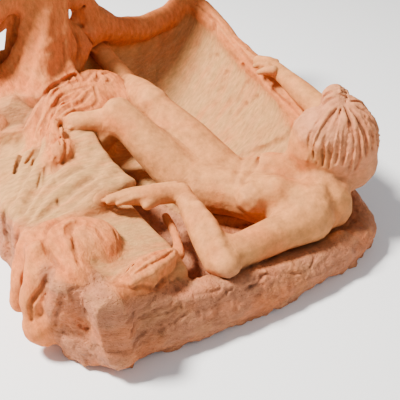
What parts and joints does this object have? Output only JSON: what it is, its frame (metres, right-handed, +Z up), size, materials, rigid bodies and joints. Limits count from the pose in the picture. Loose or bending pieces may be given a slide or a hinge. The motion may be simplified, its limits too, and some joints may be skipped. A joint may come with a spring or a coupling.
{
  "type": "clay tree of life",
  "caption": "Unglazed clay tree of life: a reclining figure in a basin at the foot of a gnarled tree, its roots folding into a rough block base.",
  "frame": {"origin": "middle of the flat underside of the base", "axes": "+X along the front of the base towards the figure's head, +Y from the front to the tree at the back, +Z up"},
  "size_m": [0.4453, 0.4808, 0.343],
  "materials": {
    "clay_tan": "unglazed fired clay, wiped smooth with the fingers",
    "clay_orange": "unglazed fired clay, finger-modelled",
    "clay_pink": "unglazed fired clay, rough and pitted",
    "clay_pale": "unglazed fired clay, burnished by hand",
    "clay_hair": "unglazed fired clay, coarsely combed"
  },
  "bodies": {
    "root": {"back_wall": "clay_pink", "base_slab": "clay_pink", "basin_sheet": "clay_tan", "branch_arch_left": "clay_orange", "branch_loop": "clay_orange", "crown_branch_left": "clay_orange", "crown_branch_right": "clay_orange", "drapery_sheet": "clay_tan", "end_lip_wall": "clay_pink", "far_foot": "clay_pale", "far_forearm": "clay_pale", "far_hand": "clay_pale", "far_shin": "clay_pale", "far_thigh": "clay_pale", "far_upper_arm": "clay_pale", "flame_fold": "clay_orange", "front_ledge": "clay_tan", "front_wall": "clay_pink", "hair": "clay_hair", "hair_lock": "clay_hair", "hanging_fold": "clay_orange", "head": "clay_pale", "leaf_applique": "clay_orange", "ledge_curl": "clay_orange", "left_wall": "clay_pink", "near_foot": "clay_pale", "near_forearm": "clay_pale", "near_hand": "clay_pale", "near_shin": "clay_pale", "near_thigh": "clay_pale", "near_upper_arm": "clay_pale", "right_wall": "clay_pink", "rim_coil": "clay_orange", "root_fold_lower": "clay_orange", "root_fold_middle": "clay_orange", "root_fold_upper": "clay_orange", "root_left": "clay_orange", "root_mound": "clay_tan", "side_drape": "clay_orange", "slot_strip": "clay_orange", "torso": "clay_pale", "trunk": "clay_orange", "trunk_stump": "clay_orange"}
  },
  "joints": []
}
